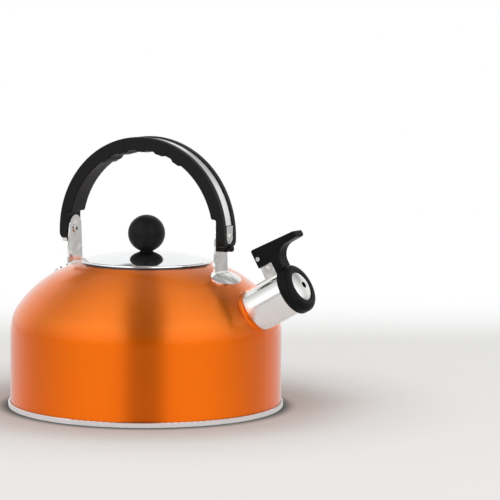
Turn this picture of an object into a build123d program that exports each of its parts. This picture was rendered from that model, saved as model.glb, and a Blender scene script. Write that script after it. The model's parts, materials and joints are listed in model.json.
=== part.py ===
from build123d import *
import os
from math import acos, cos, degrees, radians, sin, sqrt

# Stovetop whistling kettle. Millimetres, +Z up, origin on the table at the middle of the base,
# +X towards the spout. The kettle is symmetric about the XZ plane.

# Clearances
RUNNING_FIT = 0.05
FIXED_FIT = 0.02
SIDE_PLAY = 0.2

# Vessel
BODY_R = 108.4
WALL = 0.7
WALL_TOP_Z = 61.0
SHOULDER_R = 34.0
SHOULDER_TURN = 35.7
DOME_R = 90.0
MOUTH_R = 48.5
LAND_WIDTH = 7.5
NECK_DEPTH = 7.0
FOOT_FLANGE = 0.9

# Base pan with its rolled rim
PAN_T = 1.0
RIM_HEIGHT = 4.3
RIM_T = 0.7
RIM_LIP_GAP = 0.5
RIM_TOP_ROUND = 0.6
RIM_BOTTOM_ROUND = 1.2

# Spout, measured along its axis from the point where the axis is as far out as the wall
SPOUT_TILT = 29.5
SPOUT_RISE = 25.7
SPOUT_R = 17.0
SPOUT_WALL = 0.8
SPOUT_REACH = 29.2
SPOUT_INSET = 2.0
COLLAR_T = 1.0
COLLAR_HEIGHT = 2.6
COLLAR_ROUND = 1.8

# Hinge bracket of the whistle lever, and its pin
PIN_BACK = 12.9
PIN_LIFT = 16.7
PIN_R = 1.7
PIN_STAND_OUT = 1.6
HINGE_SHEET = 1.2
HINGE_WIDTH = 8.6
CHEEK_R = 3.6
CHEEK_FRONT = 7.4

# Whistle lever
LEVER_WIDTH = 14.0
LEVER_REAR = 4.0
LEVER_BELOW_PIN = 6.3
LEVER_ABOVE_PIN = 9.1
TAB_REACH = 37.8
TAB_DROP = 3.2
TAB_T = 5.2
ARM_T = 7.6
ARM_OVERHANG = 2.2
THROAT_R = 11.0
LEVER_CORNER = 1.8
LEVER_EDGE = 1.2
POCKET_CLEARANCE = 0.6

# Whistle cap
CAP_OVERHANG = 2.6
CAP_LENGTH = 10.2
CAP_SOCKET_DEPTH = 2.7
CAP_SOCKET_GAP = 0.9
CAP_SEAT_GAP = 0.25
CAP_FRONT_ROUND = 5.0
CAP_REAR_ROUND = 2.0
PLATE_R = 12.2
PLATE_T = 0.5
PLATE_DOME = 2.8
PLATE_HOLE_R = 2.6
INNER_HOLE_R = 1.75
PLATE_SINK = 0.8
PLATE_LEDGE = 0.9

# Lid
LID_OVERLAP = 3.8
LID_T = 0.7
LID_GAP = 1.6
LID_EDGE_HEIGHT = 1.9
LID_EDGE_ROUND = 1.3
LID_RISE = 6.9
PLUG_GAP = 0.4
PLUG_DEPTH = 7.5
PLUG_BEAD = 1.3
PLUG_BEAD_T = 0.7

# Lid knob with its screw and washer
KNOB_R = 14.8
KNOB_BASE_R = 5.3
KNOB_SINK = 0.6
SCREW_R = 2.5
SCREW_GRIP = 14.0
SCREW_HEAD_R = 4.5
SCREW_HEAD_T = 2.6
SCREW_SLOT = 1.2
WASHER_R = 7.0
WASHER_T = 1.0

# Handle
PIVOT_RISE = 24.35
ARCH_R = 76.6
GRIP_T = 10.3
GRIP_WIDTH = 21.0
GRIP_EDGE_ROUND = 1.4
LEG_T = 7.6
LEG_DROP = 7.9
LEG_CORNER = 5.5
STEP_CLEARANCE = 3.1
STEP_ROUND = 1.6
RIBS = 5
RIB_PITCH = 17.0
RIB_R = 6.0
RIB_HEIGHT = 2.2
RIB_TRIM = 0.15
RIB_SIDE_HEIGHT = 0.8
RIB_ROUND = 4.0
LIP_WIDTH = 5.0
CHANNEL_DEPTH = 1.9
STRIP_GAP = 0.2
STRIP_T = 1.0
STRIP_END_RISE = 9.6
SLOT_STEP = 0.4
SLOT_DEPTH = 1.4
PIVOT_PLATE_T = 1.0
PIVOT_PLATE_GAP = 0.3

# Handle rivets
RIVET_R = 2.2
RIVET_HEAD_R = 3.5
RIVET_HEAD_T = 1.2
RIVET_BORE_R = 1.5
RIVET_BORE_DEPTH = 4.0
RIVET_TAIL_T = 0.9

# Handle brackets
BRACKET_T = 1.5
TONGUE_R = 8.4
TONGUE_LIFT = 2.7
STRAP_WIDTH = 20.0
STRAP_TAPER = 22.5
FOOT_T = 1.4
FOOT_OFFSET = 4.2
FOOT_HALF_LENGTH = 9.8
FOOT_HALF_WIDTH = 19.0
FOLD_R = 2.2

# Lock pins of the handle
LOCK_WALL = 0.9
LOCK_R = 1.6
LOCK_HEAD_R = 2.4
LOCK_HEAD_LENGTH = 5.4
LOCK_HEAD_GAP = 0.25
LOCK_END_GAP = 0.3
LOCK_HEAD_ROUND = 1.6
LOCK_BOSS_WALL = 1.25
LOCK_BOSS_LENGTH = 5.0

# Long enough to pass through any piece
THROUGH = 4 * BODY_R


def on_circle(centre, radius, angle):
    return (centre[0] + radius * cos(radians(angle)), centre[1] + radius * sin(radians(angle)))


def arc(centre, radius, start, end):
    return ThreePointArc(
        on_circle(centre, radius, start),
        on_circle(centre, radius, (start + end) / 2),
        on_circle(centre, radius, end),
    )


def spin(edges):
    return revolve(Plane.XZ * make_face(edges), Axis.Z)


def ring(inner, outer, bottom, top):
    return Pos(0, 0, bottom) * extrude(Circle(outer) - Circle(inner), top - bottom)


# Meridian of the vessel: a straight wall, a tight shoulder arc and a flatter dome arc, all tangent
LAND_R = MOUTH_R + LAND_WIDTH
SHOULDER_C = (BODY_R - SHOULDER_R, WALL_TOP_Z)
DOME_C = on_circle(SHOULDER_C, SHOULDER_R - DOME_R, SHOULDER_TURN)
LAND_ANGLE = degrees(acos((LAND_R - DOME_C[0]) / DOME_R))
LAND_Z = on_circle(DOME_C, DOME_R, LAND_ANGLE)[1]

SPOUT_DIR = Vector(cos(radians(SPOUT_TILT)), 0, sin(radians(SPOUT_TILT)))
SPOUT_START = Vector(BODY_R, 0, WALL_TOP_Z + SPOUT_RISE)
SPOUT_SIDE = Plane(origin=SPOUT_START, x_dir=SPOUT_DIR, z_dir=(0, -1, 0))
SPOUT_ROOT = BODY_R / 4
PIN_S = SPOUT_REACH - PIN_BACK
PIN_N = SPOUT_R + PIN_LIFT


def core(offset):
    """The vessel's outer form as one solid, grown by offset and closed over the mouth."""
    wall_r = BODY_R + offset
    top = (DOME_C[0], DOME_C[1] + DOME_R + offset)
    return spin([
        Line((0, PAN_T), (wall_r, PAN_T)),
        Line((wall_r, PAN_T), (wall_r, WALL_TOP_Z)),
        arc(SHOULDER_C, SHOULDER_R + offset, 0, SHOULDER_TURN),
        arc(DOME_C, DOME_R + offset, SHOULDER_TURN, 90),
        Line(top, (0, top[1])),
        Line((0, top[1]), (0, PAN_T)),
    ])


def height_over_shell(point):
    """Distance of a point outside the vessel's wall, shoulder or dome."""
    r = sqrt(point.X ** 2 + point.Y ** 2)
    if point.Z <= WALL_TOP_Z:
        return r - BODY_R
    from_shoulder = (r - SHOULDER_C[0], point.Z - SHOULDER_C[1])
    if from_shoulder[1] <= from_shoulder[0] * sin(radians(SHOULDER_TURN)) / cos(radians(SHOULDER_TURN)):
        return sqrt(from_shoulder[0] ** 2 + from_shoulder[1] ** 2) - SHOULDER_R
    return sqrt((r - DOME_C[0]) ** 2 + (point.Z - DOME_C[1]) ** 2) - DOME_R


def spout_section(s):
    """Plane square to the spout at s along its axis, with x across and y up."""
    return Plane(origin=SPOUT_START + SPOUT_DIR * s, x_dir=(0, 1, 0), z_dir=SPOUT_DIR)


def spout_rod(radius, start, end):
    return spout_section(start) * extrude(Circle(radius), end - start)


def spin_on_spout(edges):
    return revolve(SPOUT_SIDE * make_face(edges), Axis(SPOUT_START, SPOUT_DIR))


def cross_rod(radius, half_length):
    """Rod through the lever's pin centre, along Y."""
    centre = Pos(PIN_S, PIN_N)
    return extrude(SPOUT_SIDE * centre * Circle(radius), half_length, both=True)


def body_shell():
    inner = BODY_R - WALL
    foot_top = PAN_T + WALL
    land_under = LAND_Z - WALL
    land_in_r = DOME_C[0] + sqrt((DOME_R - WALL) ** 2 - (land_under - DOME_C[1]) ** 2)
    land_in_angle = degrees(acos((land_in_r - DOME_C[0]) / (DOME_R - WALL)))
    neck_z = LAND_Z - NECK_DEPTH
    sheet = spin([
        Polyline(
            (inner, WALL_TOP_Z), (inner, PAN_T), (BODY_R + FOOT_FLANGE, PAN_T),
            (BODY_R + FOOT_FLANGE, foot_top), (BODY_R, foot_top), (BODY_R, WALL_TOP_Z),
        ),
        arc(SHOULDER_C, SHOULDER_R, 0, SHOULDER_TURN),
        arc(DOME_C, DOME_R, SHOULDER_TURN, LAND_ANGLE),
        Polyline(
            (LAND_R, LAND_Z), (MOUTH_R, LAND_Z), (MOUTH_R, neck_z),
            (MOUTH_R + WALL, neck_z), (MOUTH_R + WALL, land_under), (land_in_r, land_under),
        ),
        arc(DOME_C, DOME_R - WALL, land_in_angle, SHOULDER_TURN),
        arc(SHOULDER_C, SHOULDER_R - WALL, SHOULDER_TURN, 0),
    ])
    bore_r = SPOUT_R + FIXED_FIT
    collar_r = bore_r + COLLAR_T
    collar = core(COLLAR_HEIGHT) & spout_rod(collar_r, -SPOUT_ROOT, SPOUT_REACH)
    shell = sheet + (collar - core(-WALL)) - spout_rod(bore_r, -SPOUT_ROOT, SPOUT_REACH)
    spout_line = Axis(SPOUT_START, SPOUT_DIR)
    root_edges = [
        edge for edge in shell.edges()
        if all(
            abs(height_over_shell(edge @ t)) < FIXED_FIT / 2
            and abs(distance_to_line(edge @ t, spout_line) - collar_r) < FIXED_FIT / 2
            for t in (0, 0.3, 0.6, 1)
        )
    ]
    return fillet(root_edges, COLLAR_ROUND)


def distance_to_line(point, line):
    offset = point - line.position
    return (offset - line.direction * offset.dot(line.direction)).length


def base_pan():
    wall_r = BODY_R + FOOT_FLANGE + FIXED_FIT
    rim_r = wall_r + RIM_T
    lip_r = BODY_R + RIM_LIP_GAP
    lip_z = RIM_HEIGHT - RIM_T
    outline = make_face(Polyline(
        (0, 0), (rim_r, 0), (rim_r, RIM_HEIGHT), (lip_r, RIM_HEIGHT), (lip_r, lip_z),
        (wall_r, lip_z), (wall_r, PAN_T), (0, PAN_T), close=True,
    ))
    outside = outline.vertices().group_by(Axis.X)[-1].sort_by(Axis.Y)
    outline = fillet(outside[-1], RIM_TOP_ROUND)
    outside = outline.vertices().group_by(Axis.X)[-1].sort_by(Axis.Y)
    outline = fillet(outside[0], RIM_BOTTOM_ROUND)
    return revolve(Plane.XZ * outline, Axis.Z)


def spout_tube():
    tube = spout_section(-SPOUT_ROOT) * extrude(
        Circle(SPOUT_R) - Circle(SPOUT_R - SPOUT_WALL), SPOUT_ROOT + SPOUT_REACH
    )
    return tube - core(-WALL - SPOUT_INSET)


def spout_hinge_bracket():
    strip_band = Circle(SPOUT_R + HINGE_SHEET) - Circle(SPOUT_R)
    strip_band &= Pos(0, SPOUT_R) * Rectangle(HINGE_WIDTH, SPOUT_R)
    strip = spout_section(-SPOUT_ROOT) * extrude(strip_band, SPOUT_ROOT + PIN_S + CHEEK_FRONT)
    strip -= core(COLLAR_HEIGHT + COLLAR_ROUND)
    rear = PIN_S - CHEEK_R
    front = PIN_S + CHEEK_FRONT
    cheek = Pos(PIN_S, PIN_N) * Circle(CHEEK_R)
    cheek += make_face(Polyline(
        (rear, SPOUT_R), (front, SPOUT_R), (front, PIN_N - CHEEK_R), (PIN_S, PIN_N + CHEEK_R),
        (rear, PIN_N), close=True,
    ))
    pair = extrude(SPOUT_SIDE * cheek, HINGE_WIDTH / 2, both=True)
    pair -= extrude(SPOUT_SIDE * cheek, HINGE_WIDTH / 2 - HINGE_SHEET, both=True)
    bracket = strip + (pair - spout_rod(SPOUT_R, -SPOUT_ROOT, SPOUT_REACH))
    return bracket - cross_rod(PIN_R + FIXED_FIT, THROUGH)


def lever_hinge_pin():
    return cross_rod(PIN_R, LEVER_WIDTH / 2 + PIN_STAND_OUT)


# Stations of the whistle cap along the spout's axis
CAP_R = SPOUT_R + CAP_OVERHANG
CAP_SEAT_S = SPOUT_REACH + CAP_SEAT_GAP
CAP_REAR_S = CAP_SEAT_S - CAP_SOCKET_DEPTH
CAP_FRONT_S = CAP_REAR_S + CAP_LENGTH
DOME_PLATE_R = (PLATE_R ** 2 + PLATE_DOME ** 2) / (2 * PLATE_DOME)
DOME_PLATE_C = (CAP_FRONT_S - PLATE_SINK + PLATE_DOME - DOME_PLATE_R, 0)
OUTER_LEDGE_S = DOME_PLATE_C[0] + sqrt((DOME_PLATE_R - PLATE_T) ** 2 - PLATE_R ** 2)


def whistle_cap():
    socket_r = SPOUT_R + CAP_SOCKET_GAP
    plate_bore = PLATE_R + FIXED_FIT
    chamber_r = PLATE_R - PLATE_LEDGE
    outline = make_face(Polyline(
        (CAP_REAR_S, socket_r), (CAP_REAR_S, CAP_R), (CAP_FRONT_S, CAP_R), (CAP_FRONT_S, plate_bore),
        (OUTER_LEDGE_S, plate_bore), (OUTER_LEDGE_S, chamber_r),
        (CAP_SEAT_S + PLATE_T, chamber_r), (CAP_SEAT_S + PLATE_T, plate_bore),
        (CAP_SEAT_S, plate_bore), (CAP_SEAT_S, socket_r), close=True,
    ))
    rim = outline.vertices().group_by(Axis.Y)[-1].sort_by(Axis.X)
    outline = fillet(rim[-1], CAP_FRONT_ROUND)
    rim = outline.vertices().group_by(Axis.Y)[-1].sort_by(Axis.X)
    outline = fillet(rim[0], min(CAP_REAR_ROUND, 0.9 * (CAP_R - socket_r)))
    return revolve(SPOUT_SIDE * outline, Axis(SPOUT_START, SPOUT_DIR))


def lever_outline():
    """Side view of the lever: hinge block, thumb tab and the arm down to the cap."""
    rear = PIN_S - LEVER_REAR
    bottom = PIN_N - LEVER_BELOW_PIN
    top = PIN_N + LEVER_ABOVE_PIN
    tip = PIN_S + TAB_REACH
    arm_rear = CAP_REAR_S - ARM_OVERHANG
    arm_front = arm_rear + ARM_T
    foot = SPOUT_R
    under = top - TAB_DROP - TAB_T
    outline = make_face(Polyline(
        (rear, bottom), (rear, top), (tip, top - TAB_DROP), (tip, under),
        (arm_front, under), (arm_front, foot), (arm_rear, foot), (arm_rear, bottom), close=True,
    ))
    throat = outline.vertices().sort_by_distance((arm_front, under))[0]
    outline = fillet(throat, THROAT_R)
    corners = [
        outline.vertices().sort_by_distance(corner)[0]
        for corner in ((rear, top), (tip, top - TAB_DROP), (tip, under), (arm_rear, bottom))
    ]
    return fillet(corners, LEVER_CORNER)


def whistle_lever():
    lever = extrude(SPOUT_SIDE * lever_outline(), LEVER_WIDTH / 2, both=True)
    sides = lever.faces().filter_by(Axis.Y)
    lever = fillet(sides.edges(), LEVER_EDGE)
    pocket_front = PIN_S + CHEEK_FRONT + POCKET_CLEARANCE
    pocket_top = PIN_N + CHEEK_R + POCKET_CLEARANCE
    pocket_width = HINGE_WIDTH + 2 * SIDE_PLAY
    pocket = Pos(pocket_front, pocket_top) * Rectangle(THROUGH, THROUGH, align=(Align.MAX, Align.MAX))
    lever -= extrude(SPOUT_SIDE * pocket, pocket_width / 2, both=True)
    lever -= spout_rod(SPOUT_R + CAP_SOCKET_GAP, -SPOUT_ROOT, CAP_SEAT_S)
    lever += whistle_cap()
    return lever - cross_rod(PIN_R + RUNNING_FIT, THROUGH)


def whistle_outer_plate():
    skin_r = DOME_PLATE_R - PLATE_T
    hole_out = degrees(acos(sqrt(1 - (PLATE_HOLE_R / DOME_PLATE_R) ** 2)))
    hole_in = degrees(acos(sqrt(1 - (PLATE_HOLE_R / skin_r) ** 2)))
    rim_out = degrees(acos(sqrt(1 - (PLATE_R / DOME_PLATE_R) ** 2)))
    rim_in = degrees(acos(sqrt(1 - (PLATE_R / skin_r) ** 2)))
    return spin_on_spout([
        arc(DOME_PLATE_C, DOME_PLATE_R, hole_out, rim_out),
        Line(on_circle(DOME_PLATE_C, DOME_PLATE_R, rim_out), on_circle(DOME_PLATE_C, skin_r, rim_in)),
        arc(DOME_PLATE_C, skin_r, rim_in, hole_in),
        Line(on_circle(DOME_PLATE_C, skin_r, hole_in), on_circle(DOME_PLATE_C, DOME_PLATE_R, hole_out)),
    ])


def whistle_inner_plate():
    plate = Circle(PLATE_R) - Circle(INNER_HOLE_R)
    return spout_section(CAP_SEAT_S) * extrude(plate, PLATE_T)


# The lid's dome is a slice of a sphere that rises LID_RISE from its edge to the middle
LID_R = MOUTH_R + LID_OVERLAP
LID_BOTTOM_Z = LAND_Z + LID_GAP
LID_APEX_Z = LID_BOTTOM_Z + LID_EDGE_HEIGHT + LID_RISE - LID_T
LID_DOME_R = (LID_R ** 2 + LID_RISE ** 2) / (2 * LID_RISE)
LID_DOME_C = (0, LID_APEX_Z - LID_DOME_R)


def lid_under_z(r):
    return LID_DOME_C[1] + sqrt((LID_DOME_R - LID_T) ** 2 - r ** 2)


def lid_cover():
    inner_r = LID_R - LID_T
    edge_angle = degrees(acos(LID_R / LID_DOME_R))
    inner_angle = degrees(acos(inner_r / (LID_DOME_R - LID_T)))
    hole_angle = degrees(acos((SCREW_R + RUNNING_FIT) / LID_DOME_R))
    hole_in_angle = degrees(acos((SCREW_R + RUNNING_FIT) / (LID_DOME_R - LID_T)))
    outline = make_face([
        arc(LID_DOME_C, LID_DOME_R, hole_angle, edge_angle),
        Polyline(
            on_circle(LID_DOME_C, LID_DOME_R, edge_angle), (LID_R, LID_BOTTOM_Z),
            (inner_r, LID_BOTTOM_Z), on_circle(LID_DOME_C, LID_DOME_R - LID_T, inner_angle),
        ),
        arc(LID_DOME_C, LID_DOME_R - LID_T, inner_angle, hole_in_angle),
        Line(
            on_circle(LID_DOME_C, LID_DOME_R - LID_T, hole_in_angle),
            on_circle(LID_DOME_C, LID_DOME_R, hole_angle),
        ),
    ])
    edge = on_circle(LID_DOME_C, LID_DOME_R, edge_angle)
    outline = fillet(outline.vertices().sort_by_distance(edge)[0], LID_EDGE_ROUND)
    return revolve(Plane.XZ * outline, Axis.Z)


def lid_plug():
    outer = MOUTH_R - PLUG_GAP
    inner = outer - LID_T
    bead_r = outer + PLUG_BEAD
    return spin([Polyline(
        (inner, LAND_Z - PLUG_DEPTH), (outer, LAND_Z - PLUG_DEPTH), (outer, LAND_Z), (bead_r, LAND_Z),
        (bead_r, LAND_Z + PLUG_BEAD_T), (outer, LAND_Z + PLUG_BEAD_T), (outer, lid_under_z(outer)),
        (inner, lid_under_z(inner)), close=True,
    )])


WASHER_TOP_Z = lid_under_z(WASHER_R)
KNOB_C_Z = LID_APEX_Z + KNOB_R - KNOB_SINK


def lid_knob():
    ball = Pos(0, 0, KNOB_C_Z) * Sphere(KNOB_R)
    neck = Pos(0, 0, LID_APEX_Z) * extrude(Circle(KNOB_BASE_R), KNOB_R)
    below = Pos(0, 0, LID_APEX_Z) * extrude(Circle(KNOB_R), -KNOB_R)
    hole = Pos(0, 0, LID_APEX_Z) * extrude(Circle(SCREW_R + FIXED_FIT), SCREW_GRIP + FIXED_FIT)
    return ball + neck - below - hole


def knob_screw():
    head_top = WASHER_TOP_Z - WASHER_T
    shank = Pos(0, 0, head_top) * extrude(Circle(SCREW_R), LID_APEX_Z + SCREW_GRIP - head_top)
    head = Pos(0, 0, head_top) * extrude(Circle(SCREW_HEAD_R), -SCREW_HEAD_T)
    slot = Pos(0, 0, head_top - SCREW_HEAD_T) * extrude(
        Rectangle(2 * SCREW_HEAD_R, SCREW_SLOT), SCREW_HEAD_T / 2
    )
    return shank + head - slot


def knob_washer():
    return ring(SCREW_R + RUNNING_FIT, WASHER_R, WASHER_TOP_Z - WASHER_T, WASHER_TOP_Z)


# The handle is drawn in the XZ plane from its pivot, front leg towards +X
PIVOT_Z = LAND_Z + PIVOT_RISE
ARCH = Plane(origin=(0, 0, PIVOT_Z), x_dir=(1, 0, 0), z_dir=(0, -1, 0))
GRIP_IN_R = ARCH_R - GRIP_T
LEG_INNER_X = ARCH_R - LEG_T
STEP_RISE = TONGUE_LIFT + TONGUE_R + STEP_CLEARANCE
CHANNEL_WIDTH = GRIP_WIDTH - 2 * LIP_WIDTH
SLOT_WIDTH = CHANNEL_WIDTH - 2 * SLOT_STEP
LOCK_SEAT_R = LOCK_HEAD_R + LOCK_HEAD_GAP
LOCK_DROP = SLOT_WIDTH / 2 + LOCK_WALL + LOCK_SEAT_R
LOCK_SEAT_X = LEG_INNER_X + LOCK_BOSS_LENGTH


def x_rod(radius, start, end, drop=0.0):
    """Rod along X on the front leg, drop below the pivot."""
    plane = Plane(origin=(start, 0, PIVOT_Z - drop), x_dir=(0, 1, 0), z_dir=(1, 0, 0))
    return plane * extrude(Circle(radius), end - start)


def at_rear(piece):
    return Rot(0, 0, 180) * piece


def grip_outline():
    """Side view of the grip: an arch with finger ribs under it, a step and two thin legs."""
    arch = Circle(ARCH_R) & Pos(0, ARCH_R / 2) * Rectangle(2 * ARCH_R, ARCH_R)
    legs = Pos(0, -LEG_DROP / 2) * Rectangle(2 * ARCH_R, LEG_DROP)
    outline = arch + legs - Circle(GRIP_IN_R)
    gap = STEP_RISE + LEG_DROP
    outline -= Pos(0, STEP_RISE - gap / 2) * Rectangle(2 * LEG_INNER_X, gap)
    step_x = sqrt(GRIP_IN_R ** 2 - STEP_RISE ** 2)
    for index in range(RIBS):
        turn = degrees(RIB_PITCH / GRIP_IN_R) * (index - (RIBS - 1) / 2)
        reach = GRIP_IN_R - RIB_HEIGHT - RIB_TRIM + RIB_R
        outline += Pos(*on_circle((0, 0), reach, 90 + turn)) * Circle(RIB_R)
    rib_feet = [v for v in outline.vertices() if v.Y > STEP_RISE + STEP_ROUND]
    outline = fillet(rib_feet, RIB_ROUND)
    for side in (-1, 1):
        for x in (step_x, LEG_INNER_X):
            outline = fillet(outline.vertices().sort_by_distance((side * x, STEP_RISE))[0], STEP_ROUND)
    return outline


def above(rise):
    """Everything higher than rise above the pivot, in the handle's side view."""
    return Pos(0, rise) * Rectangle(THROUGH, THROUGH, align=(Align.CENTER, Align.MIN))


def channel():
    """Recess for the strip along the outside of the arch."""
    band = Circle(ARCH_R + CHANNEL_DEPTH) - Circle(ARCH_R - CHANNEL_DEPTH)
    band &= above(STRIP_END_RISE - STRIP_GAP)
    return extrude(ARCH * band, CHANNEL_WIDTH / 2, both=True)


def leg_slot(inset, depth):
    """Round-ended slot form on the front leg's outer face, around the pivot."""
    half = SLOT_WIDTH / 2 - inset
    form = Circle(half) + Pos(0, (STRIP_END_RISE - inset) / 2) * Rectangle(2 * half, STRIP_END_RISE - inset)
    floor = ARCH_R - SLOT_DEPTH
    plane = Plane(origin=(floor, 0, PIVOT_Z), x_dir=(0, 1, 0), z_dir=(1, 0, 0))
    return plane * extrude(form, depth)


def rib_relief():
    """What is free inside the arch, which trims the ribs and makes them lower towards the two faces."""
    half = GRIP_WIDTH / 2 + GRIP_EDGE_ROUND
    side_r = GRIP_IN_R - RIB_SIDE_HEIGHT
    across = Plane(origin=(0, 0, PIVOT_Z), x_dir=(0, 1, 0), z_dir=(-1, 0, 0))
    profile = make_face([
        ThreePointArc((-half, side_r), (0, GRIP_IN_R - RIB_HEIGHT), (half, side_r)),
        Polyline((half, side_r), (half, 0), (-half, 0), (-half, side_r)),
    ])
    return revolve(across * profile, Axis((0, 0, PIVOT_Z), (0, 1, 0)))


def lock_boss():
    """Eye under the front leg that holds the lock pin."""
    radius = LOCK_R + RUNNING_FIT + LOCK_BOSS_WALL
    web = Plane(origin=(LEG_INNER_X, 0, PIVOT_Z), x_dir=(0, 1, 0), z_dir=(1, 0, 0)) * extrude(
        Pos(0, -LOCK_DROP / 2) * Rectangle(2 * radius, LOCK_DROP), LOCK_BOSS_LENGTH
    )
    return web + x_rod(radius, LEG_INNER_X, LOCK_SEAT_X, LOCK_DROP)


def handle_grip():
    grip = extrude(ARCH * grip_outline(), GRIP_WIDTH / 2, both=True)
    bottom_edges = grip.edges().filter_by(Axis.X).group_by(Axis.Z)[0]
    grip = fillet(bottom_edges, LEG_CORNER)
    grip = fillet(grip.faces().filter_by(Axis.Y).edges(), GRIP_EDGE_ROUND)
    grip = grip - channel() - rib_relief()
    boss = lock_boss()
    grip = grip + boss + at_rear(boss)
    shank = x_rod(RIVET_R + FIXED_FIT, 0, THROUGH)
    lock_bore = x_rod(LOCK_R + RUNNING_FIT, 0, THROUGH, LOCK_DROP)
    lock_seat = x_rod(LOCK_SEAT_R, LOCK_SEAT_X, THROUGH, LOCK_DROP)
    slot = leg_slot(0, THROUGH)
    for cut in (shank, lock_bore, lock_seat, slot):
        grip = grip - cut - at_rear(cut)
    return grip


def handle_strip():
    floor = ARCH_R - CHANNEL_DEPTH
    band = Circle(floor + STRIP_T) - Circle(floor)
    band &= above(STRIP_END_RISE)
    return extrude(ARCH * band, CHANNEL_WIDTH / 2 - STRIP_GAP, both=True)


def pivot_plate():
    plate = leg_slot(PIVOT_PLATE_GAP, PIVOT_PLATE_T)
    return plate - x_rod(RIVET_R + FIXED_FIT, 0, THROUGH)


# Places across the front leg, from inside to outside
TONGUE_OUT_X = LEG_INNER_X - SIDE_PLAY
TONGUE_IN_X = TONGUE_OUT_X - BRACKET_T
RIVET_TAIL_X = TONGUE_IN_X - SIDE_PLAY / 2
PLATE_TOP_X = ARCH_R - SLOT_DEPTH + PIVOT_PLATE_T


def pivot_rivet():
    shank = x_rod(RIVET_R, RIVET_TAIL_X, PLATE_TOP_X)
    tail = x_rod(RIVET_HEAD_R, RIVET_TAIL_X - RIVET_TAIL_T, RIVET_TAIL_X)
    head = x_rod(RIVET_HEAD_R, PLATE_TOP_X, PLATE_TOP_X + RIVET_HEAD_T)
    head = fillet(head.edges().group_by(Axis.X)[-1], 0.8 * RIVET_HEAD_T)
    tail_start = RIVET_TAIL_X - RIVET_TAIL_T
    bore = x_rod(RIVET_BORE_R, tail_start, tail_start + RIVET_BORE_DEPTH)
    return shank + tail + head - bore


def lock_pin():
    shank_start = LEG_INNER_X + LOCK_END_GAP
    head_start = LOCK_SEAT_X + LOCK_HEAD_GAP
    shank = x_rod(LOCK_R, shank_start, head_start, LOCK_DROP)
    head = x_rod(LOCK_HEAD_R, head_start, head_start + LOCK_HEAD_LENGTH, LOCK_DROP)
    head = fillet(head.edges().group_by(Axis.X)[-1], LOCK_HEAD_ROUND)
    return shank + head


def handle_bracket():
    """Upright strap riveted to the leg, standing on an oval foot that follows the shoulder."""
    taper_z = PIVOT_Z - STRAP_TAPER
    tongue_z = PIVOT_Z + TONGUE_LIFT
    foot_x = TONGUE_OUT_X + FOOT_OFFSET
    strap = Pos(0, tongue_z) * Circle(TONGUE_R)
    strap += make_face(Polyline(
        (-TONGUE_R, tongue_z), (TONGUE_R, tongue_z), (STRAP_WIDTH / 2, taper_z),
        (STRAP_WIDTH / 2, WALL_TOP_Z), (-STRAP_WIDTH / 2, WALL_TOP_Z),
        (-STRAP_WIDTH / 2, taper_z), close=True,
    ))
    upright = Plane(origin=(TONGUE_IN_X, 0, 0), x_dir=(0, 1, 0), z_dir=(1, 0, 0)) * extrude(strap, BRACKET_T)
    upright -= core(0)
    slope = degrees(acos((foot_x - DOME_C[0]) / DOME_R))
    foot_z = on_circle(DOME_C, DOME_R, slope)[1]
    normal = Vector(cos(radians(slope)), 0, sin(radians(slope)))
    foot_plane = Plane(origin=(foot_x, 0, foot_z), x_dir=(0, 1, 0), z_dir=normal)
    oval = foot_plane * extrude(Ellipse(FOOT_HALF_WIDTH, FOOT_HALF_LENGTH), FOOT_HALF_LENGTH, both=True)
    foot = oval & (core(FOOT_T) - core(0))
    bracket = upright + foot
    fold = [
        edge for edge in bracket.edges()
        if all(
            abs((edge @ t).X - TONGUE_OUT_X) < FIXED_FIT
            and abs(height_over_shell(edge @ t) - FOOT_T) < FIXED_FIT
            for t in (0, 0.5, 1)
        )
    ]
    bracket = fillet(fold, FOLD_R)
    return bracket - x_rod(RIVET_R + RUNNING_FIT, 0, THROUGH)


def all_pieces():
    bracket = handle_bracket()
    plate = pivot_plate()
    rivet = pivot_rivet()
    lock = lock_pin()
    return {
        "body_shell": body_shell(),
        "base_pan": base_pan(),
        "spout_tube": spout_tube(),
        "spout_hinge_bracket": spout_hinge_bracket(),
        "lever_hinge_pin": lever_hinge_pin(),
        "front_handle_bracket": bracket,
        "rear_handle_bracket": at_rear(bracket),
        "handle_grip": handle_grip(),
        "handle_strip": handle_strip(),
        "front_pivot_plate": plate,
        "rear_pivot_plate": at_rear(plate),
        "front_pivot_rivet": rivet,
        "rear_pivot_rivet": at_rear(rivet),
        "front_lock_pin": lock,
        "rear_lock_pin": at_rear(lock),
        "lid_cover": lid_cover(),
        "lid_plug": lid_plug(),
        "lid_knob": lid_knob(),
        "knob_screw": knob_screw(),
        "knob_washer": knob_washer(),
        "whistle_lever": whistle_lever(),
        "whistle_outer_plate": whistle_outer_plate(),
        "whistle_inner_plate": whistle_inner_plate(),
    }


os.makedirs("parts", exist_ok=True)
for name, piece in all_pieces().items():
    export_step(piece, f"parts/{name}.step")
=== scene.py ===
import json
import math

import bpy
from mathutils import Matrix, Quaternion, Vector

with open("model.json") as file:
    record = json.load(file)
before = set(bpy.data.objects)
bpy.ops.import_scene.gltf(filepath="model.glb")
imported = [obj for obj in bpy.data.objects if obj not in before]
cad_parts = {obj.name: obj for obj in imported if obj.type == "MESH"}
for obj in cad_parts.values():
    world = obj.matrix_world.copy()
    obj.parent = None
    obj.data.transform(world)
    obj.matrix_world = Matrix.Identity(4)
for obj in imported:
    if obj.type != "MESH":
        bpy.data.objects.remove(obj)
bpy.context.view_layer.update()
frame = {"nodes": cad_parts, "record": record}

scene = bpy.context.scene
nodes = frame["nodes"]

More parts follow.
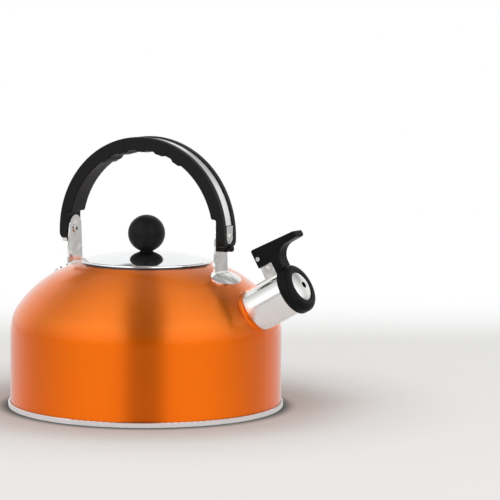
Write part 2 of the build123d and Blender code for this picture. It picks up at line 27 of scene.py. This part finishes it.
# Camera
VIEW_AZIMUTH = math.radians(31.5)
CAMERA_PLACE = Vector((0.99598, -1.62529, 0.32120))
CAMERA_TARGET = Vector((0.07045, 0.04317, 0.12484))
CAMERA_ROLL = 0.008
SENSOR_WIDTH = 36.0
FOCAL_LENGTH = 172.8

lens = bpy.data.cameras.new("camera")
lens.sensor_width = SENSOR_WIDTH
lens.lens = FOCAL_LENGTH
lens.clip_start, lens.clip_end = 0.01, 100.0
camera = bpy.data.objects.new("camera", lens)
scene.collection.objects.link(camera)
camera.location = CAMERA_PLACE
camera.rotation_mode = "QUATERNION"
camera.rotation_quaternion = (
    (CAMERA_TARGET - CAMERA_PLACE).to_track_quat("-Z", "Y")
    @ Quaternion((0, 0, 1), CAMERA_ROLL)
)
scene.camera = camera
scene.view_settings.view_transform = "Standard"


# Node helpers
def wire(tree, kind, settings=None, inputs=None):
    made = tree.nodes.new(kind)
    for name, value in (settings or {}).items():
        setattr(made, name, value)
    for name, value in (inputs or {}).items():
        if isinstance(value, bpy.types.NodeSocket):
            tree.links.new(value, made.inputs[name])
        else:
            made.inputs[name].default_value = value
    return made


def principled(name, **sockets):
    made = bpy.data.materials.new(name)
    made.use_nodes = True
    tree = made.node_tree
    surface = tree.nodes["Principled BSDF"]
    for socket, value in sockets.items():
        surface.inputs[socket.replace("_", " ")].default_value = value
    return made, tree, surface


def place(tree):
    return wire(tree, "ShaderNodeTexCoord").outputs["Object"]


def noise(tree, vector, scale, detail=3.0, rough=0.55):
    return wire(tree, "ShaderNodeTexNoise", inputs={
        "Vector": vector, "Scale": scale, "Detail": detail, "Roughness": rough}).outputs["Fac"]


def spread(tree, value, low, high, start=0.3, end=0.7):
    return wire(tree, "ShaderNodeMapRange", inputs={
        "Value": value, "From Min": start, "From Max": end,
        "To Min": low, "To Max": high}).outputs["Result"]


def tint(tree, value, dark, light):
    ramp = wire(tree, "ShaderNodeValToRGB", inputs={"Fac": value})
    ramp.color_ramp.elements[0].color = (*dark, 1.0)
    ramp.color_ramp.elements[1].color = (*light, 1.0)
    ramp.color_ramp.elements[0].position = 0.3
    ramp.color_ramp.elements[1].position = 0.7
    return ramp.outputs["Color"]


def bump(tree, surface, height, strength, distance):
    made = wire(tree, "ShaderNodeBump", inputs={
        "Height": height, "Strength": strength, "Distance": distance})
    tree.links.new(made.outputs["Normal"], surface.inputs["Normal"])


# Materials
def orange_coat():
    made, tree, surface = principled(
        "orange_coat", Metallic=0.95, Anisotropic=0.95, Anisotropic_Rotation=0.25,
        Coat_Weight=1.0, Coat_Roughness=0.10, Coat_IOR=1.16)
    around = wire(tree, "ShaderNodeTangent", {"direction_type": "RADIAL", "axis": "Z"})
    tree.links.new(around.outputs["Tangent"], surface.inputs["Tangent"])
    at = place(tree)
    flakes = noise(tree, at, 2600.0, 2.0)
    clouds = noise(tree, at, 26.0, 3.0)
    mixed = wire(tree, "ShaderNodeMath", {"operation": "MULTIPLY_ADD"}, {
        0: flakes, 1: 0.5, 2: spread(tree, clouds, 0.15, 0.35)}).outputs[0]
    # Painted light: surfaces facing up get a lighter, yellower orange than the sides, standing in
    # for the brighter light on the dome
    slope = wire(tree, "ShaderNodeSeparateXYZ", inputs={
        0: wire(tree, "ShaderNodeNewGeometry").outputs["Normal"]}).outputs["Z"]
    colour = wire(tree, "ShaderNodeMix", {"data_type": "RGBA"}, {
        "Factor": spread(tree, slope, 0.0, 1.0, 0.10, 0.45),
        6: tint(tree, mixed, (0.86, 0.150, 0.0004), (0.94, 0.176, 0.0010)),
        7: tint(tree, mixed, (0.89, 0.198, 0.0140), (0.96, 0.228, 0.0220))}).outputs[2]
    tree.links.new(colour, surface.inputs["Base Color"])
    tree.links.new(spread(tree, clouds, 0.38, 0.43), surface.inputs["Roughness"])
    bump(tree, surface, noise(tree, at, 240.0, 2.0), 0.05, 0.0002)
    return made


def steel(name, tone, rough, grain=900.0, depth=0.05, waves=0.0):
    made, tree, surface = principled(name, Metallic=1.0)
    at = place(tree)
    lines = noise(tree, at, grain, 4.0)
    clouds = noise(tree, at, 60.0, 3.0)
    dark = tuple(0.94 * c for c in tone)
    tree.links.new(tint(tree, clouds, dark, tone), surface.inputs["Base Color"])
    tree.links.new(spread(tree, lines, 0.8 * rough, 1.25 * rough), surface.inputs["Roughness"])
    bump(tree, surface, lines, depth, 0.0001)
    if waves:
        fine = surface.inputs["Normal"].links[0].from_node
        swell = wire(tree, "ShaderNodeBump", inputs={
            "Height": noise(tree, at, 70.0, 1.0), "Strength": waves, "Distance": 0.004})
        tree.links.new(swell.outputs["Normal"], fine.inputs["Normal"])
    return made


def plastic(name, dark, light, rough, grain, depth, shine):
    made, tree, surface = principled(name, IOR=1.46, Specular_IOR_Level=shine)
    at = place(tree)
    grains = noise(tree, at, grain, 4.0, 0.65)
    clouds = noise(tree, at, 45.0, 3.0)
    tree.links.new(tint(tree, grains, dark, light), surface.inputs["Base Color"])
    tree.links.new(spread(tree, clouds, rough - 0.04, rough + 0.05), surface.inputs["Roughness"])
    bump(tree, surface, grains, depth, 0.0003)
    return made


BLACK, CHARCOAL = (0.004, 0.004, 0.0045), (0.012, 0.012, 0.013)
SLOTS = {
    "orange_coat": orange_coat(),
    "base_steel": steel("base_steel", (0.76, 0.77, 0.78), 0.14),
    "polished_steel": steel("polished_steel", (0.84, 0.84, 0.83), 0.18),
    "bracket_steel": steel("bracket_steel", (0.86, 0.85, 0.83), 0.12, waves=0.35),
    "strip_steel": steel("strip_steel", (0.90, 0.90, 0.89), 0.24),
    "fastener_steel": steel("fastener_steel", (0.86, 0.86, 0.85), 0.20),
    # Painted shade: the lid's plug is near-black steel, so the gap under the lid's rim shows as a
    # dark shadow line
    "plug_steel": steel("plug_steel", (0.12, 0.12, 0.12), 0.40),
    "mirror_steel": steel("mirror_steel", (0.88, 0.89, 0.90), 0.06, depth=0.01),
    "grip_plastic": plastic("grip_plastic", BLACK, CHARCOAL, 0.42, 1500.0, 0.30, 0.16),
    "knob_plastic": plastic("knob_plastic", BLACK, CHARCOAL, 0.42, 1300.0, 0.25, 0.14),
    "lever_plastic": plastic("lever_plastic", BLACK, CHARCOAL, 0.30, 1400.0, 0.10, 0.06),
}
for row in frame["record"]["subparts"]:
    mesh = nodes[row["node"]].data
    mesh.materials.clear()
    mesh.materials.append(SLOTS[row["material_slot"]])


# Studio, with directions as seen from the camera
RIGHT = Vector((math.cos(VIEW_AZIMUTH), math.sin(VIEW_AZIMUTH), 0.0))
NEAR = Vector((math.sin(VIEW_AZIMUTH), -math.cos(VIEW_AZIMUTH), 0.0))
UP = Vector((0.0, 0.0, 1.0))
GAP_SHIFT = 0.02
GAP_COLOUR = (1.0, 0.80, 0.70)
FLAG_SHADE = 0.92
SCREEN_SHADE = 0.60
DIFFUSE_LEVEL = 0.42
WHITE_LEVEL = 1.0
PANEL_ACROSS = 1.50
PANEL_AHEAD = 1.7
PANEL_HEIGHT = 1.25
PANEL_WIDTH = 2.0
PANEL_TALL = 2.3
PANEL_GLOW = 2.2
PANEL_TILT = 0.35
FLOOR_R = 40.0
FLOOR_GREY, FLOOR_PALE = (0.79, 0.77, 0.74), (0.83, 0.81, 0.78)
MIRRORED_WHITE = 0.42


def maths(tree, operation, *values):
    made = wire(tree, "ShaderNodeMath", {"operation": operation}, dict(enumerate(values)))
    return made.outputs[0]


def product(tree, first, *others):
    for other in others:
        first = maths(tree, "MULTIPLY", first, other)
    return first


def highest(tree, first, *others):
    for other in others:
        first = maths(tree, "MAXIMUM", first, other)
    return first


def soft(tree, value, start, end, low, high):
    return wire(tree, "ShaderNodeMapRange", {"interpolation_type": "SMOOTHSTEP"}, {
        "Value": value, "From Min": start, "From Max": end,
        "To Min": low, "To Max": high}).outputs["Result"]


def blend(tree, share, start, end):
    return wire(tree, "ShaderNodeMix", {"data_type": "FLOAT"}, {
        0: share, 2: start, 3: end}).outputs[0]


def along(tree, vector, axis):
    return wire(tree, "ShaderNodeVectorMath", {"operation": "DOT_PRODUCT"}, {
        0: vector, 1: axis}).outputs["Value"]


def studio_world():
    world = bpy.data.worlds.new("studio")
    scene.world = world
    world.use_nodes = True
    tree = world.node_tree
    tree.nodes.clear()
    toward = wire(tree, "ShaderNodeTexCoord").outputs["Generated"]
    across, ahead, up = (along(tree, toward, axis) for axis in (RIGHT, NEAR, UP))

    # A dim gap ahead of the kettle, between two bright sides that fall off towards the back
    side = maths(tree, "ABSOLUTE", maths(tree, "ADD", across, GAP_SHIFT))
    open_side = highest(tree, soft(tree, side, 0.16, 0.34, 0.0, 1.0),
                        soft(tree, ahead, 0.20, -0.10, 0.0, 1.0))
    dim = soft(tree, up, 0.10, 0.50, 0.05, 0.25)
    bright = product(tree, soft(tree, up, 0.25, 0.80, 1.82, 1.45),
                     soft(tree, ahead, 0.75, -0.60, 1.0, 0.36),
                     soft(tree, up, 0.00, 0.14, 0.55, 1.0))
    room = blend(tree, open_side, dim, bright)

    # White behind the kettle, with a dark flag high on its left and a grey screen high on its right
    behind = product(tree, soft(tree, up, 0.80, 0.62, 0.0, 1.0),
                     soft(tree, ahead, -0.15, -0.70, 0.0, 1.0))
    flag = product(tree, soft(tree, up, 0.50, 0.55, 0.0, 1.0), soft(tree, up, 0.74, 0.68, 0.0, 1.0),
                   soft(tree, across, 0.00, -0.06, 0.0, 1.0),
                   soft(tree, across, -0.45, -0.35, 0.0, 1.0))
    screen = product(tree, soft(tree, up, 0.34, 0.56, 0.0, 1.0),
                     soft(tree, across, 0.20, 0.32, 0.0, 1.0))
    shade = highest(tree, product(tree, flag, FLAG_SHADE), product(tree, screen, SCREEN_SHADE))
    white = maths(tree, "SUBTRACT", 1.0, shade)

    rays = wire(tree, "ShaderNodeLightPath")
    seen = rays.outputs["Is Camera Ray"]
    shiny = highest(tree, rays.outputs["Is Glossy Ray"], rays.outputs["Is Transmission Ray"])
    glossy = blend(tree, behind, room, white)
    level = blend(tree, seen, blend(tree, shiny, DIFFUSE_LEVEL, glossy), 1.0)
    neutral = highest(tree, maths(tree, "SUBTRACT", 1.0, shiny), open_side, behind)
    colour = wire(tree, "ShaderNodeMix", {"data_type": "RGBA"}, {
        "Factor": neutral, 6: (*GAP_COLOUR, 1.0), 7: (1.0, 1.0, 1.0, 1.0)}).outputs[2]
    ground = wire(tree, "ShaderNodeBackground", inputs={"Color": colour, "Strength": level})
    out = wire(tree, "ShaderNodeOutputWorld")
    tree.links.new(ground.outputs["Background"], out.inputs["Surface"])


def panel(name, across):
    """A softbox beside the view that lights the object but isn't mirrored in it."""
    data = bpy.data.lights.new(name, "AREA")
    data.shape = "RECTANGLE"
    data.size, data.size_y = PANEL_WIDTH, PANEL_TALL
    data.energy = PANEL_GLOW * math.pi * PANEL_WIDTH * PANEL_TALL
    lamp = bpy.data.objects.new(name, data)
    scene.collection.objects.link(lamp)
    lamp.location = across * RIGHT + PANEL_AHEAD * NEAR + PANEL_HEIGHT * UP
    lamp.rotation_mode = "QUATERNION"
    lamp.rotation_quaternion = (-NEAR - PANEL_TILT * UP).to_track_quat("-Z", "Y")
    lamp.visible_glossy = False


def floor():
    bpy.ops.mesh.primitive_circle_add(vertices=96, radius=FLOOR_R, fill_type="NGON")
    made = bpy.context.active_object
    made.name = "floor"
    look, tree, surface = principled("floor", Roughness=0.8, Specular_IOR_Level=0.15)
    at = place(tree)
    depth = product(tree, along(tree, at, NEAR), -1.0)
    across = maths(tree, "ABSOLUTE", along(tree, at, RIGHT))
    out_r = wire(tree, "ShaderNodeVectorMath", {"operation": "LENGTH"}, {0: at}).outputs["Value"]
    rays = wire(tree, "ShaderNodeLightPath")
    seen = rays.outputs["Is Camera Ray"]
    shown = highest(tree, seen, rays.outputs["Is Glossy Ray"], rays.outputs["Is Transmission Ray"])

    # Pale, with a painted shadow around the kettle's foot that only the camera sees, and mirrored
    # greyer from far to the sides
    aside = maths(tree, "SUBTRACT", across, product(tree, depth, 0.12))
    far = blend(tree, seen, soft(tree, aside, 0.35, 1.00, 1.0, 0.55), 1.0)
    foot = product(tree, soft(tree, out_r, 0.108, 0.122, 0.15, 1.0),
                   soft(tree, out_r, 0.11, 0.19, 0.72, 1.0))
    pale = product(tree, far, blend(tree, seen, 1.0, foot))
    grain = tint(tree, noise(tree, at, 3.0), FLOOR_GREY, FLOOR_PALE)
    colour = wire(tree, "ShaderNodeVectorMath", {"operation": "SCALE"}, {0: grain, "Scale": pale})
    tree.links.new(colour.outputs["Vector"], surface.inputs["Base Color"])

    # White towards the back and seen white all round, with the object's shadow kept around its foot
    back = soft(tree, depth, 0.05, 0.70, 0.0, 1.0)
    ring = product(tree, seen, soft(tree, out_r, 0.25, 0.95, 0.0, 1.0))
    close = blend(tree, seen, MIRRORED_WHITE, soft(tree, out_r, 0.11, 0.28, 0.10, 0.50))
    share = highest(tree, close, back, ring)
    white = wire(tree, "ShaderNodeEmission", inputs={"Strength": product(tree, pale, WHITE_LEVEL)})
    mixed = wire(tree, "ShaderNodeMixShader", inputs={
        0: product(tree, share, shown), 1: surface.outputs["BSDF"], 2: white.outputs["Emission"]})
    tree.links.new(mixed.outputs[0], tree.nodes["Material Output"].inputs["Surface"])
    made.data.materials.append(look)


studio_world()
panel("left_panel", -PANEL_ACROSS)
panel("right_panel", PANEL_ACROSS)
floor()
